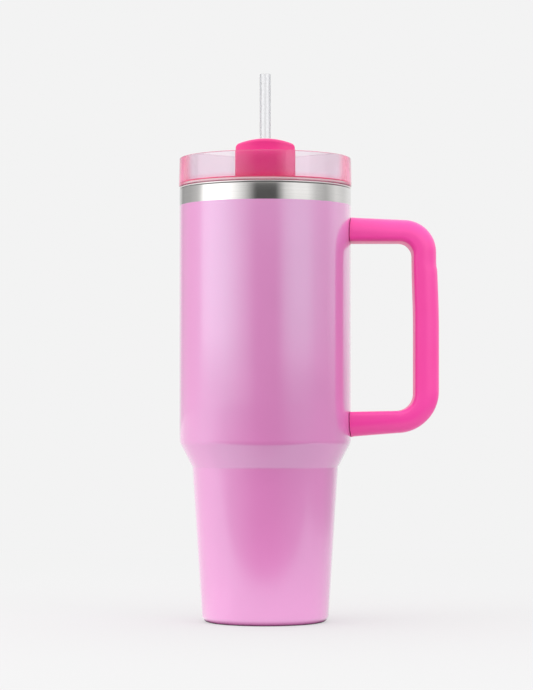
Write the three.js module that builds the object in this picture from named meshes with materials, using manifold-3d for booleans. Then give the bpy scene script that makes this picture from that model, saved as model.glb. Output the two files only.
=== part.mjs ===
// A double-walled steel tumbler with a side handle, a push-in lid, a turning lid cover and a straw.
// Units are millimetres. The cup's axis is Z, the cup stands on Z = 0, the handle points to +X
// and the finger tab of the lid cover points to -Y.
import * as THREE from "three";
import { mergeVertices } from "three/addons/utils/BufferGeometryUtils.js";
import Module from "manifold-3d";

const wasm = await Module();
wasm.setup();

// ---------------------------------------------------------------- driving dimensions

const SEGMENTS = 40; // facets round each large turned piece
const SMALL_SEGMENTS = 16; // facets round each small turned piece
const ARC_STEPS = 1.1; // steps per radian in an arc of 1 mm radius
const FIT_GAP = 0.3; // clearance between pieces that touch
const MERGE_DISTANCE = 1e-4; // vertices nearer than this are one
const OVERLAP = 1; // how far a cutting tool runs past what it cuts, or one joined piece into the other

const cup = {
  radius: 49,
  shellWall: 0.5,
  linerWall: 0.5,
  wall: 3.6, // outer face of the shell to inner face of the liner
  footRadius: 36.1, // where the lower cone would meet Z = 0
  footRounding: 4.2,
  coneTopRadius: 41.75,
  coneTopZ: 88.3,
  shoulderTopZ: 102.2,
  shoulderRounding: 6.5,
  waistRounding: 2,
  shellTopZ: 246.6,
  rimZ: 247.9,
  rimInset: 0.1, // rolled rim to the shell's outer face
  rimThickness: 1,
  rimRounding: 0.45,
  rimInnerRounding: 1,
  floorZ: 7.3,
  floorRounding: 7.5,
};

const base = {
  lipRadius: 31.8, // inner edge of the rolled foot of the shell
  coverRadius: 31.3,
  coverThickness: 0.8,
  coverRounding: 0.3,
  plateRadius: 33.6,
  plateZ: 1.1,
  plateThickness: 0.8,
  dimpleRadius: 8,
  dimpleFlatRadius: 5,
  dimpleRise: 1.9,
  portRadius: 1.2,
};

const foil = { gap: 0.4, thickness: 0.25, topZ: 238, bottomZ: 14 };

const lid = {
  ringRadius: 49.35,
  ringTopRadius: 48.95,
  ringInnerRadius: 46.7,
  ringBottomZ: 248.2,
  ringTopZ: 264.5,
  ringRounding: 1.3,
  ringInnerRounding: 0.35,
  ringBottomRounding: 0.6,
  ledgeZ: 250,
  ledgeRounding: 0.5,
  recessRadius: 43.4,
  skirtRadius: 44.7,
  skirtInnerRadius: 42.3,
  skirtBottomZ: 231,
  skirtRounding: 0.8,
  floorTopZ: 243,
  floorBottomZ: 240.5,
  grooveRadius: 43.5,
  grooveBottomZ: 235.5,
  grooveTopZ: 240.5,
  spigotRadius: 8,
  spigotBore: 5.6,
  spigotTopZ: 249.3,
  ringGroove: { radius: 7.2, bottomZ: 244.6, topZ: 246.2 }, // holds the pivot O-ring
  clipGroove: { radius: 7.3, bottomZ: 246.9, topZ: 248.3 }, // holds the cover's snap ring
};

const gasket = { finRadius: 45.15, bodyRadius: 44.8, endGap: 0.4, finHeight: 1, finRoot: 1.7 };

const grommet = {
  lowerFlange: 1.6,
  upperFlange: 2.1,
  flangeThickness: 1.2,
  flangeRounding: 0.4,
  lowerGap: 0.4,
};

const sip = { radius: 35, halfWidth: 4, halfAngle: THREE.MathUtils.degToRad(14) };

const cover = {
  radius: 42.9,
  boreRadius: 8.4,
  bottomZ: 244,
  topZ: 246.8,
  edgeRounding: 0.4,
  windowMargin: 0.5, // how much wider the window is than the sip opening, each way
};

const tab = {
  halfWidth: 16.5,
  topZ: 271.5,
  crownRadius: 45.6, // of the arch along the top
  edgeRounding: 2.2,
  backY: -21,
  planRounding: 4,
  wall: 2.3,
};

const seal = { sideGap: 0.4, depthInTab: 2 };

const pivotRing = { innerRadius: 7.5, outerRadius: 8.15, rounding: 0.25, endGap: 0.2 };

const clip = {
  innerRadius: 7.65,
  outerRadius: 10,
  halfGap: THREE.MathUtils.degToRad(25),
  endGap: 0.2,
};

const straw = { radius: 3.15, bore: 2.5, bottomZ: 11, topZ: 312.8 };

// The handle lies in the plane Y = 0. Heights are those of its inner and outer faces.
const handle = {
  width: 25,
  wall: 3,
  outerEdgeRounding: 7,
  innerEdgeRounding: 3,
  startX: 46, // inside the saddle cut
  upper: {
    innerZ: 216.5,
    outerZ: 230.7,
    cornerOuterZ: 229.2,
    innerRadius: 7.8,
    outerRadius: 18.5,
  },
  lower: {
    innerZ: 119.8,
    outerZ: 105.4,
    cornerInnerZ: 120.4,
    cornerOuterZ: 107.7,
    innerRadius: 9.8,
    outerRadius: 24,
  },
  grip: { upperInnerX: 84.15, upperOuterX: 97.45, bulgeX: 98.1, innerX: 85, outerX: 99.05 },
  stepTopZ: 204, // a small step outwards ends at bulgeZ
  bulgeZ: 200, // the grip thickens from here down to fullZ
  fullZ: 166,
  saddleGap: 0.35,
  coverThickness: 2,
};

const bracket = {
  footHalfWidth: 7,
  footDepth: 2.6,
  footInner: 2.6, // depths are measured from the arm's inner face
  footOuter: 9.6,
  tongueHalfWidth: 6,
  tongueEndX: 66,
  tongueInner: 4,
  tongueOuter: 7,
};

const screw = {
  x: 60,
  shaftRadius: 1.5,
  headRadius: 3.3,
  headInner: 2.3,
  headOuter: 3.7,
  shaftEnd: 10,
  socketRadius: 1.3,
  socketDepth: 0.9,
  socketSides: 6,
  bossRadius: 3.6,
  bossInner: 7.3,
  bossHoleEnd: 10.4,
};

// ---------------------------------------------------------------- materials

const finish = (color, roughness, metalness, opacity = 1) =>
  new THREE.MeshStandardMaterial({ color, roughness, metalness, opacity, transparent: opacity < 1 });

const material = {
  pearlPaint: finish(0xdb97c8, 0.25, 0.2),
  steel: finish(0xc8c6c3, 0.25, 1),
  copper: finish(0xc77f58, 0.35, 1),
  getter: finish(0x6d6f73, 0.6, 0.8),
  sealGlass: finish(0x3b3f45, 0.3, 0),
  handlePink: finish(0xf4559f, 0.4, 0),
  coverPink: finish(0xe83f90, 0.35, 0),
  clearPink: finish(0xf3b8d4, 0.08, 0, 0.45),
  clearStraw: finish(0xeceef0, 0.1, 0, 0.4),
  silicone: finish(0xf0e6ea, 0.6, 0),
};

// ---------------------------------------------------------------- geometry helpers

// A solid from a closed geometry.
function toSolid(geometry) {
  const flat = geometry.index ? geometry.toNonIndexed() : geometry;
  const bare = new THREE.BufferGeometry();
  bare.setAttribute("position", flat.getAttribute("position"));
  const merged = mergeVertices(bare, MERGE_DISTANCE);
  return new wasm.Manifold(
    new wasm.Mesh({
      numProp: 3,
      vertProperties: merged.getAttribute("position").array,
      triVerts: new Uint32Array(merged.index.array),
    }),
  );
}

function toGeometry(solid) {
  const { vertProperties, triVerts } = solid.getMesh();
  const geometry = new THREE.BufferGeometry();
  geometry.setAttribute("position", new THREE.BufferAttribute(vertProperties, 3));
  geometry.setIndex(new THREE.BufferAttribute(triVerts, 1));
  const faceted = geometry.toNonIndexed();
  faceted.computeVertexNormals();
  return faceted;
}

const cut = (geometry, ...tools) =>
  toGeometry(tools.reduce((solid, tool) => solid.subtract(toSolid(tool)), toSolid(geometry)));

const join = (geometry, ...others) =>
  toGeometry(others.reduce((solid, other) => solid.add(toSolid(other)), toSolid(geometry)));

const common = (first, second) => toGeometry(toSolid(first).intersect(toSolid(second)));

// Corners are [radius, z, rounding]. Each rounded corner becomes an arc that meets both its sides,
// in more steps the larger it is.
function roundCorners(corners, closed) {
  const count = corners.length;
  const points = [];
  corners.forEach(([r, z, rounding = 0], i) => {
    const here = new THREE.Vector2(r, z);
    const isEnd = !closed && (i === 0 || i === count - 1);
    if (rounding === 0 || isEnd) {
      points.push(here);
      return;
    }
    const sideTo = ([x, y]) => new THREE.Vector2(x, y).sub(here).normalize();
    const before = sideTo(corners[(i + count - 1) % count]);
    const after = sideTo(corners[(i + 1) % count]);
    const halfAngle = Math.acos(THREE.MathUtils.clamp(before.dot(after), -1, 1)) / 2;
    const centre = before
      .clone()
      .add(after)
      .setLength(rounding / Math.sin(halfAngle))
      .add(here);
    const start = before.clone().multiplyScalar(rounding / Math.tan(halfAngle)).add(here).sub(centre);
    const end = after.clone().multiplyScalar(rounding / Math.tan(halfAngle)).add(here).sub(centre);
    const sweep = Math.atan2(start.cross(end), start.dot(end));
    const steps = Math.ceil(ARC_STEPS * Math.sqrt(rounding) * Math.abs(sweep));
    for (let k = 0; k <= steps; k += 1) {
      const spoke = start.clone().rotateAround(new THREE.Vector2(), (sweep * k) / steps);
      points.push(spoke.add(centre));
    }
  });
  return points;
}

// Turns a profile about Z. The profile runs counterclockwise as seen with the radius to the right.
function turn(points, segments) {
  const geometry = new THREE.LatheGeometry(points, segments);
  geometry.rotateX(Math.PI / 2);
  return geometry;
}

// A turned piece with a hole along its axis.
function turnedRing(corners, segments = SEGMENTS) {
  const points = roundCorners(corners, true);
  points.push(points[0].clone());
  return turn(points, segments);
}

// A turned piece whose profile starts and ends on the axis.
function turnedSolid(corners, segments = SEGMENTS) {
  return turn(roundCorners(corners, false), segments);
}

function cylinder(radius, bottomZ, topZ, segments = SMALL_SEGMENTS) {
  const corners = [
    [0, bottomZ],
    [radius, bottomZ],
    [radius, topZ],
    [0, topZ],
  ];
  return turnedSolid(corners, segments);
}

function block(x0, x1, y0, y1, z0, z1) {
  const geometry = new THREE.BoxGeometry(x1 - x0, y1 - y0, z1 - z0);
  geometry.translate((x0 + x1) / 2, (y0 + y1) / 2, (z0 + z1) / 2);
  return geometry;
}

function extrudeUp(shape, bottomZ, topZ, curveSegments = 6) {
  const settings = { depth: topZ - bottomZ, bevelEnabled: false, curveSegments };
  const geometry = new THREE.ExtrudeGeometry(shape, settings);
  geometry.translate(0, 0, bottomZ);
  return geometry;
}

// An opening that follows a circle about the axis and has round ends.
function arcSlot(radius, halfWidth, centreAngle, halfAngle) {
  const from = centreAngle - halfAngle;
  const to = centreAngle + halfAngle;
  const shape = new THREE.Shape();
  const endCentre = (angle) => [radius * Math.cos(angle), radius * Math.sin(angle)];
  shape.absarc(0, 0, radius + halfWidth, from, to, false);
  shape.absarc(...endCentre(to), halfWidth, to, to + Math.PI, false);
  shape.absarc(0, 0, radius - halfWidth, to, from, true);
  shape.absarc(...endCentre(from), halfWidth, from + Math.PI, from + 2 * Math.PI, false);
  return shape;
}

// Joins equal rings of points into one closed solid with flat ends.
function loft(rings) {
  const size = rings[0].length;
  const vertices = rings.flat();
  const faces = [];
  for (let ring = 0; ring < rings.length - 1; ring += 1) {
    for (let k = 0; k < size; k += 1) {
      const a = ring * size + k;
      const b = ring * size + ((k + 1) % size);
      faces.push([a, b + size, b], [a, a + size, b + size]);
    }
  }
  return { vertices, faces, size };
}

// ---------------------------------------------------------------- the cup

function outerShell() {
  const { radius, shellWall, coneTopRadius, coneTopZ, shoulderTopZ, footRadius } = cup;
  const inside = cup.shoulderRounding - shellWall;
  return turnedRing([
    [base.lipRadius, 0],
    [footRadius, 0, cup.footRounding],
    [coneTopRadius, coneTopZ, cup.waistRounding],
    [radius, shoulderTopZ, cup.shoulderRounding],
    [radius, cup.shellTopZ],
    [radius - shellWall, cup.shellTopZ],
    [radius - shellWall, shoulderTopZ, inside],
    [coneTopRadius - shellWall, coneTopZ, cup.waistRounding + shellWall],
    [footRadius - shellWall, shellWall, cup.footRounding - shellWall],
    [base.lipRadius, shellWall],
  ]);
}

// The radius of the straight lower cone of the shell's outer face at a height.
function lowerConeRadius(z) {
  return cup.footRadius + ((cup.coneTopRadius - cup.footRadius) * z) / cup.coneTopZ;
}

function innerLiner() {
  const inner = cup.radius - cup.wall;
  const outer = inner + cup.linerWall;
  const waistInner = cup.coneTopRadius - cup.wall;
  const floorInner = lowerConeRadius(cup.floorZ) - cup.wall;
  const rimRadius = cup.radius - cup.rimInset;
  return turnedSolid([
    [0, cup.floorZ - cup.linerWall],
    [floorInner + cup.linerWall, cup.floorZ - cup.linerWall, cup.floorRounding + cup.linerWall],
    [waistInner + cup.linerWall, cup.coneTopZ],
    [outer, cup.shoulderTopZ],
    [outer, cup.rimZ - cup.rimThickness],
    [rimRadius, cup.rimZ - cup.rimThickness, cup.rimRounding],
    [rimRadius, cup.rimZ, cup.rimRounding],
    [inner, cup.rimZ, cup.rimInnerRounding],
    [inner, cup.shoulderTopZ],
    [waistInner, cup.coneTopZ],
    [floorInner, cup.floorZ, cup.floorRounding],
    [0, cup.floorZ],
  ]);
}

// A thin copper wrap in the vacuum space, close round the liner.
function copperFoil() {
  const linerOffset = cup.wall - cup.linerWall - foil.gap;
  const face = (offset) => ({
    top: cup.radius - offset,
    waist: cup.coneTopRadius - offset,
    foot: lowerConeRadius(foil.bottomZ) - offset,
  });
  const inner = face(linerOffset);
  const outer = face(linerOffset - foil.thickness);
  return turnedRing([
    [inner.foot, foil.bottomZ],
    [outer.foot, foil.bottomZ],
    [outer.waist, cup.coneTopZ],
    [outer.top, cup.shoulderTopZ],
    [outer.top, foil.topZ],
    [inner.top, foil.topZ],
    [inner.top, cup.shoulderTopZ],
    [inner.waist, cup.coneTopZ],
  ]);
}

// The welded bottom of the shell, dimpled round the port through which the air is drawn out.
function outerBase() {
  const { plateZ, plateThickness, dimpleRise, plateRadius } = base;
  const top = plateZ + plateThickness;
  return turnedRing([
    [base.portRadius, plateZ + dimpleRise],
    [base.dimpleFlatRadius, plateZ + dimpleRise],
    [base.dimpleRadius, plateZ],
    [plateRadius, plateZ],
    [plateRadius, top],
    [base.dimpleRadius + plateThickness, top],
    [base.dimpleFlatRadius + plateThickness, top + dimpleRise],
    [base.portRadius, top + dimpleRise],
  ]);
}

// The bead of glass solder that closes the port from below.
function vacuumSealPlug() {
  const plugRadius = 3.6;
  const bottom = base.coverThickness + FIT_GAP;
  const top = base.plateZ + base.dimpleRise - FIT_GAP;
  const corners = [
    [0, bottom],
    [plugRadius, bottom, 0.7],
    [plugRadius, top],
    [0, top],
  ];
  return turnedSolid(corners, SMALL_SEGMENTS);
}

// The pill that takes up stray gas, held to the welded bottom.
function getter() {
  const getterRadius = 6;
  const getterHeight = 2;
  const offCentre = 18;
  const bottom = base.plateZ + base.plateThickness + FIT_GAP;
  const corners = [
    [0, bottom],
    [getterRadius, bottom],
    [getterRadius, bottom + getterHeight, 0.6],
    [0, bottom + getterHeight],
  ];
  return turnedSolid(corners, SMALL_SEGMENTS).translate(offCentre, 0, 0);
}

const baseCover = () =>
  turnedSolid([
    [0, 0],
    [base.coverRadius, 0, base.coverRounding],
    [base.coverRadius, base.coverThickness],
    [0, base.coverThickness],
  ]);

// ---------------------------------------------------------------- the handle

// Points along a corner, as [x, z], from one angle to another about its centre.
function cornerPoints(centreX, centreZ, radius, fromDegrees, toDegrees, steps) {
  return Array.from({ length: steps + 1 }, (_, k) => {
    const angle = THREE.MathUtils.degToRad(fromDegrees + ((toDegrees - fromDegrees) * k) / steps);
    return [centreX + radius * Math.cos(angle), centreZ + radius * Math.sin(angle)];
  });
}

// Stations along the handle from the upper arm to the lower arm, each with the point of its inner
// face and the point of its outer face.
function handleStations() {
  const steps = 6;
  const { upper, lower, grip } = handle;
  const upperCorner = (x, z, radius) =>
    cornerPoints(x - radius, z - radius, radius, 90, 0, steps);
  const lowerCorner = (x, z, radius) =>
    cornerPoints(x - radius, z + radius, radius, 0, -90, steps);
  const inner = [
    [handle.startX, upper.innerZ],
    ...upperCorner(grip.upperInnerX, upper.innerZ, upper.innerRadius),
    [grip.upperInnerX, handle.stepTopZ],
    [grip.innerX, handle.bulgeZ],
    [grip.innerX, handle.fullZ],
    ...lowerCorner(grip.innerX, lower.cornerInnerZ, lower.innerRadius),
    [handle.startX, lower.innerZ],
  ];
  const outer = [
    [handle.startX, upper.outerZ],
    ...upperCorner(grip.upperOuterX, upper.cornerOuterZ, upper.outerRadius),
    [grip.upperOuterX, handle.stepTopZ],
    [grip.bulgeX, handle.bulgeZ],
    [grip.outerX, handle.fullZ],
    ...lowerCorner(grip.outerX, lower.cornerOuterZ, lower.outerRadius),
    [handle.startX, lower.outerZ],
  ];
  return inner.map((point, i) => ({ inner: point, outer: outer[i] }));
}

// Places a section, given as [depth from the inner face, y], at a station.
function placeSection(station, section) {
  const [xi, zi] = station.inner;
  const [xo, zo] = station.outer;
  const depth = Math.hypot(xo - xi, zo - zi);
  const along = [(xo - xi) / depth, (zo - zi) / depth];
  return section(depth).map(([d, y]) => new THREE.Vector3(xi + along[0] * d, y, zi + along[1] * d));
}

// Sweeps a section along the handle and closes both ends, whose faces lie inside the saddle cut.
function sweepHandle(section) {
  const stations = handleStations();
  const rings = stations.map((station) => placeSection(station, section));
  const { vertices, faces, size } = loft(rings);
  const endDepth = handle.upper.outerZ - handle.upper.innerZ;
  const flat = section(endDepth).map(([d, y]) => new THREE.Vector2(d, y));
  const cap = THREE.ShapeUtils.triangulateShape(flat, []);
  const last = (rings.length - 1) * size;
  cap.forEach(([a, b, c]) => faces.push([a, b, c], [a + last, c + last, b + last]));
  const positions = faces.flat().flatMap((index) => vertices[index].toArray());
  const geometry = new THREE.BufferGeometry();
  geometry.setAttribute("position", new THREE.Float32BufferAttribute(positions, 3));
  return geometry;
}

// A channel, open towards the grip's inner side, where the inner cover closes it.
function channelSection(depth) {
  const half = handle.width / 2;
  const { wall, outerEdgeRounding, innerEdgeRounding } = handle;
  return roundCorners(
    [
      [0, -half + wall],
      [0, -half, innerEdgeRounding],
      [depth, -half, outerEdgeRounding],
      [depth, half, outerEdgeRounding],
      [0, half, innerEdgeRounding],
      [0, half - wall],
      [depth - wall, half - wall],
      [depth - wall, -half + wall],
    ],
    true,
  ).map((point) => point.toArray());
}

function innerCoverSection() {
  const half = handle.width / 2 - handle.wall - FIT_GAP;
  return [
    [0, -half],
    [handle.coverThickness, -half],
    [handle.coverThickness, half],
    [0, half],
  ];
}

// The space of the cup's wall, which saddle-cuts everything that meets it.
const cupSpace = () =>
  cylinder(cup.radius + handle.saddleGap, 0, cup.shellTopZ, SEGMENTS);

// Height in an arm at a depth measured from the arm's inner face.
const upperArmZ = (depth) => handle.upper.innerZ + depth;
const lowerArmZ = (depth) => handle.lower.innerZ - depth;

// A cylinder that stands across an arm between two depths.
function armCylinder(armZ, radius, fromDepth, toDepth, segments = SMALL_SEGMENTS) {
  const [low, high] = [armZ(fromDepth), armZ(toDepth)].sort((a, b) => a - b);
  return cylinder(radius, low, high, segments).translate(screw.x, 0, 0);
}

function armBlock(armZ, x0, x1, halfWidth, fromDepth, toDepth) {
  const [low, high] = [armZ(fromDepth), armZ(toDepth)].sort((a, b) => a - b);
  return block(x0, x1, -halfWidth, halfWidth, low, high);
}

function handleShell() {
  const arms = [upperArmZ, lowerArmZ];
  const bossRoot = screw.bossHoleEnd + OVERLAP;
  const bosses = arms.map((armZ) => armCylinder(armZ, screw.bossRadius, screw.bossInner, bossRoot));
  const holes = arms.map((armZ) =>
    armCylinder(armZ, screw.shaftRadius + FIT_GAP, screw.bossInner - OVERLAP, screw.bossHoleEnd),
  );
  return cut(join(sweepHandle(channelSection), ...bosses), ...holes, cupSpace());
}

const handleInnerCover = () => cut(sweepHandle(innerCoverSection), cupSpace());

// A steel foot welded to the shell, with a tongue that reaches into an arm and takes the screw.
function handleBracket(armZ) {
  const footX = cup.radius + bracket.footDepth;
  const foot = armBlock(
    armZ,
    handle.startX,
    footX,
    bracket.footHalfWidth,
    bracket.footInner,
    bracket.footOuter,
  );
  const tongue = armBlock(
    armZ,
    footX - OVERLAP,
    bracket.tongueEndX,
    bracket.tongueHalfWidth,
    bracket.tongueInner,
    bracket.tongueOuter,
  );
  const hole = armCylinder(
    armZ,
    screw.shaftRadius + FIT_GAP,
    bracket.tongueInner - OVERLAP,
    bracket.tongueOuter + OVERLAP,
  );
  return cut(join(foot, tongue), hole, cupSpace());
}

function handleScrew(armZ) {
  const head = armCylinder(armZ, screw.headRadius, screw.headInner, screw.headOuter);
  const shaft = armCylinder(armZ, screw.shaftRadius, screw.headOuter - OVERLAP, screw.shaftEnd);
  const socketEnd = screw.headInner + screw.socketDepth;
  const socketStart = screw.headInner - OVERLAP;
  const socket = armCylinder(armZ, screw.socketRadius, socketStart, socketEnd, screw.socketSides);
  return cut(join(head, shaft), socket);
}

// ---------------------------------------------------------------- the lid

const sipOpening = (extraHalfWidth, centreAngle) =>
  arcSlot(sip.radius, sip.halfWidth + extraHalfWidth, centreAngle, sip.halfAngle);

// Ring wall, recessed floor, plug skirt with its gasket groove, and the hollow spigot that the
// cover turns on and the straw passes through.
function lidBase() {
  const { ringRadius, ringInnerRadius, ringTopZ, ringBottomZ, skirtRadius, spigotRadius } = lid;
  const groove = ({ radius, bottomZ, topZ }) => [
    [spigotRadius, bottomZ],
    [radius, bottomZ],
    [radius, topZ],
    [spigotRadius, topZ],
  ];
  const turned = turnedRing([
    [lid.skirtInnerRadius, lid.skirtBottomZ, lid.skirtRounding],
    [skirtRadius, lid.skirtBottomZ, lid.skirtRounding],
    [skirtRadius, lid.grooveBottomZ],
    [lid.grooveRadius, lid.grooveBottomZ],
    [lid.grooveRadius, lid.grooveTopZ],
    [skirtRadius, lid.grooveTopZ],
    [skirtRadius, ringBottomZ],
    [ringRadius, ringBottomZ, lid.ringBottomRounding],
    [lid.ringTopRadius, ringTopZ, lid.ringRounding],
    [ringInnerRadius, ringTopZ, lid.ringInnerRounding],
    [ringInnerRadius, lid.ledgeZ],
    [lid.recessRadius, lid.ledgeZ, lid.ledgeRounding],
    [lid.recessRadius, lid.floorTopZ],
    [spigotRadius, lid.floorTopZ],
    ...groove(lid.ringGroove),
    ...groove(lid.clipGroove),
    [spigotRadius, lid.spigotTopZ],
    [lid.spigotBore, lid.spigotTopZ],
    [lid.spigotBore, lid.floorBottomZ],
    [lid.skirtInnerRadius, lid.floorBottomZ],
  ]);
  const opening = extrudeUp(
    sipOpening(0, -Math.PI / 2),
    lid.floorBottomZ - OVERLAP,
    lid.floorTopZ + OVERLAP,
  );
  return cut(turned, opening);
}

// A silicone ring with two fins that press on the inside of the cup's neck.
function lidGasket() {
  const { finRadius, bodyRadius, endGap, finHeight, finRoot } = gasket;
  const innerRadius = lid.grooveRadius + FIT_GAP;
  const bottom = lid.grooveBottomZ + endGap;
  const top = lid.grooveTopZ - endGap;
  return turnedRing([
    [innerRadius, bottom],
    [bodyRadius, bottom],
    [finRadius, bottom + finHeight],
    [bodyRadius, bottom + finRoot],
    [bodyRadius, top - finRoot],
    [finRadius, top - finHeight],
    [bodyRadius, top],
    [innerRadius, top],
  ]);
}

// The tab seen from above: an arc along the lid's rim in front and round corners at the back.
function tabPlan(inset) {
  const reach = cover.radius - inset;
  const half = tab.halfWidth - inset;
  const back = tab.backY - inset;
  const rounding = Math.max(tab.planRounding - inset, 1);
  const frontAngle = Math.asin(half / reach);
  const shape = new THREE.Shape();
  shape.absarc(0, 0, reach, -Math.PI / 2 - frontAngle, -Math.PI / 2 + frontAngle, false);
  shape.lineTo(half, back - rounding);
  shape.absarc(half - rounding, back - rounding, rounding, 0, Math.PI / 2, false);
  shape.absarc(-half + rounding, back - rounding, rounding, Math.PI / 2, Math.PI, false);
  return shape;
}

// The tab seen from the front: straight sides, round shoulders and an arched top.
function tabFront(inset, bottomZ) {
  const half = tab.halfWidth - inset;
  const rounding = Math.max(tab.edgeRounding - inset, 0.5);
  const crown = tab.crownRadius - inset;
  const crownZ = tab.topZ - tab.crownRadius;
  const cornerX = half - rounding;
  const cornerZ = crownZ + Math.sqrt((crown - rounding) ** 2 - cornerX ** 2);
  const lean = Math.atan2(cornerZ - crownZ, cornerX);
  const shape = new THREE.Shape();
  shape.moveTo(-half, bottomZ);
  shape.lineTo(half, bottomZ);
  shape.absarc(cornerX, cornerZ, rounding, 0, lean, false);
  shape.absarc(0, crownZ, crown, lean, Math.PI - lean, false);
  shape.absarc(-cornerX, cornerZ, rounding, Math.PI - lean, Math.PI, false);
  return shape;
}

function tabBlock(inset, bottomZ) {
  const plan = extrudeUp(tabPlan(inset), bottomZ, tab.topZ + OVERLAP);
  const depth = cover.radius + OVERLAP;
  const settings = { depth, bevelEnabled: false, curveSegments: 8 };
  const front = new THREE.ExtrudeGeometry(tabFront(inset, bottomZ), settings);
  front.rotateX(Math.PI / 2);
  return common(plan, front);
}

// The disc that turns on the spigot, with its hollow finger tab and, opposite, the sip window.
function rotatingCover() {
  const disc = turnedRing([
    [cover.boreRadius, cover.bottomZ],
    [cover.radius, cover.bottomZ, cover.edgeRounding],
    [cover.radius, cover.topZ, cover.edgeRounding],
    [cover.boreRadius, cover.topZ],
  ]);
  const below = cover.bottomZ - OVERLAP;
  const hollow = tabBlock(tab.wall, below);
  const window = extrudeUp(
    sipOpening(cover.windowMargin, Math.PI / 2),
    below,
    cover.topZ + OVERLAP,
  );
  return cut(join(disc, tabBlock(0, cover.bottomZ)), hollow, window);
}

// A silicone pad that fills the mouth of the tab and lies over the sip opening.
const coverSeal = () =>
  extrudeUp(
    tabPlan(tab.wall + seal.sideGap),
    lid.floorTopZ + FIT_GAP,
    cover.bottomZ + seal.depthInTab,
  );

function pivotORing() {
  const { innerRadius, outerRadius, rounding, endGap } = pivotRing;
  const bottom = lid.ringGroove.bottomZ + endGap;
  const top = lid.ringGroove.topZ - endGap;
  const corners = [
    [innerRadius, bottom],
    [outerRadius, bottom, rounding],
    [outerRadius, top, rounding],
    [innerRadius, top],
  ];
  return turnedRing(corners, SMALL_SEGMENTS);
}

// An open snap ring in the spigot's upper groove, which keeps the cover on.
function coverClip() {
  const { innerRadius, outerRadius, halfGap, endGap } = clip;
  const { bottomZ, topZ } = lid.clipGroove;
  const shape = new THREE.Shape();
  shape.absarc(0, 0, outerRadius, halfGap, 2 * Math.PI - halfGap, false);
  shape.absarc(0, 0, innerRadius, 2 * Math.PI - halfGap, halfGap, true);
  return extrudeUp(shape, bottomZ + endGap, topZ - endGap, 14);
}

// A silicone sleeve, flanged at both ends, that grips the straw inside the spigot.
function strawGrommet() {
  const bore = straw.radius + FIT_GAP;
  const sleeve = lid.spigotBore - FIT_GAP;
  const lowerZ = lid.floorBottomZ - grommet.lowerGap;
  const upperZ = lid.spigotTopZ + FIT_GAP;
  const corners = [
    [bore, lowerZ - grommet.flangeThickness],
    [sleeve + grommet.lowerFlange, lowerZ - grommet.flangeThickness, grommet.flangeRounding],
    [sleeve + grommet.lowerFlange, lowerZ],
    [sleeve, lowerZ],
    [sleeve, upperZ],
    [sleeve + grommet.upperFlange, upperZ],
    [sleeve + grommet.upperFlange, upperZ + grommet.flangeThickness, grommet.flangeRounding],
    [bore, upperZ + grommet.flangeThickness],
  ];
  return turnedRing(corners, SMALL_SEGMENTS);
}

function strawTube() {
  const corners = [
    [straw.bore, straw.bottomZ],
    [straw.radius, straw.bottomZ],
    [straw.radius, straw.topZ],
    [straw.bore, straw.topZ],
  ];
  return turnedRing(corners, SMALL_SEGMENTS);
}

// ---------------------------------------------------------------- the assembly

function piece(name, geometry, finishOfPiece) {
  const mesh = new THREE.Mesh(geometry, finishOfPiece);
  mesh.name = name;
  return mesh;
}

const tumbler = new THREE.Group();

const cupGroup = new THREE.Group();
cupGroup.add(
  piece("outer_shell", outerShell(), material.pearlPaint),
  piece("inner_liner", innerLiner(), material.steel),
  piece("copper_foil", copperFoil(), material.copper),
  piece("outer_base", outerBase(), material.steel),
  piece("vacuum_seal_plug", vacuumSealPlug(), material.sealGlass),
  piece("getter", getter(), material.getter),
  piece("base_cover", baseCover(), material.pearlPaint),
);

const handleGroup = new THREE.Group();
handleGroup.add(
  piece("handle_shell", handleShell(), material.handlePink),
  piece("handle_inner_cover", handleInnerCover(), material.handlePink),
  piece("handle_bracket_upper", handleBracket(upperArmZ), material.steel),
  piece("handle_bracket_lower", handleBracket(lowerArmZ), material.steel),
  piece("handle_screw_upper", handleScrew(upperArmZ), material.steel),
  piece("handle_screw_lower", handleScrew(lowerArmZ), material.steel),
);

const lidGroup = new THREE.Group();
lidGroup.add(
  piece("lid_base", lidBase(), material.clearPink),
  piece("lid_gasket", lidGasket(), material.silicone),
  piece("rotating_cover", rotatingCover(), material.coverPink),
  piece("cover_seal", coverSeal(), material.silicone),
  piece("pivot_o_ring", pivotORing(), material.silicone),
  piece("cover_clip", coverClip(), material.steel),
  piece("straw_grommet", strawGrommet(), material.silicone),
  piece("straw", strawTube(), material.clearStraw),
);

tumbler.add(cupGroup, handleGroup, lidGroup);

export default tumbler;
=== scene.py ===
# The looks of an insulated tumbler with a side handle, a clear push-in lid, a turning cover and a straw.
# Sizes of shapes are written in millimetres and turned into metres where meshes are made.
import math

import bmesh
import bpy
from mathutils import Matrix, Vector


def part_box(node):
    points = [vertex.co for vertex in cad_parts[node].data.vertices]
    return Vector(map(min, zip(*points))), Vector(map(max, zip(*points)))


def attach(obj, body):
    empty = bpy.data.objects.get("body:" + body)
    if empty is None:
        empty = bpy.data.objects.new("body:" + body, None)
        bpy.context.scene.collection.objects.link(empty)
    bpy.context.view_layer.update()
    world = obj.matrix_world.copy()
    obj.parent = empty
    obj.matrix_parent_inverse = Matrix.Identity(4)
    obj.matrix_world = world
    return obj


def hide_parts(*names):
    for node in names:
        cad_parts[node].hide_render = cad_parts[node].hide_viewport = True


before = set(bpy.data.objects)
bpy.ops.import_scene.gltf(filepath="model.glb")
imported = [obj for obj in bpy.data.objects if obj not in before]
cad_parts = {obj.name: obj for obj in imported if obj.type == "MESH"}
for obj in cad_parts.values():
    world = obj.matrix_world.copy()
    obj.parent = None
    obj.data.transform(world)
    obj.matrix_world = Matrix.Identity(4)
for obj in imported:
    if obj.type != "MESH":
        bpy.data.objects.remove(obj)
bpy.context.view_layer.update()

MM = 0.001
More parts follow.
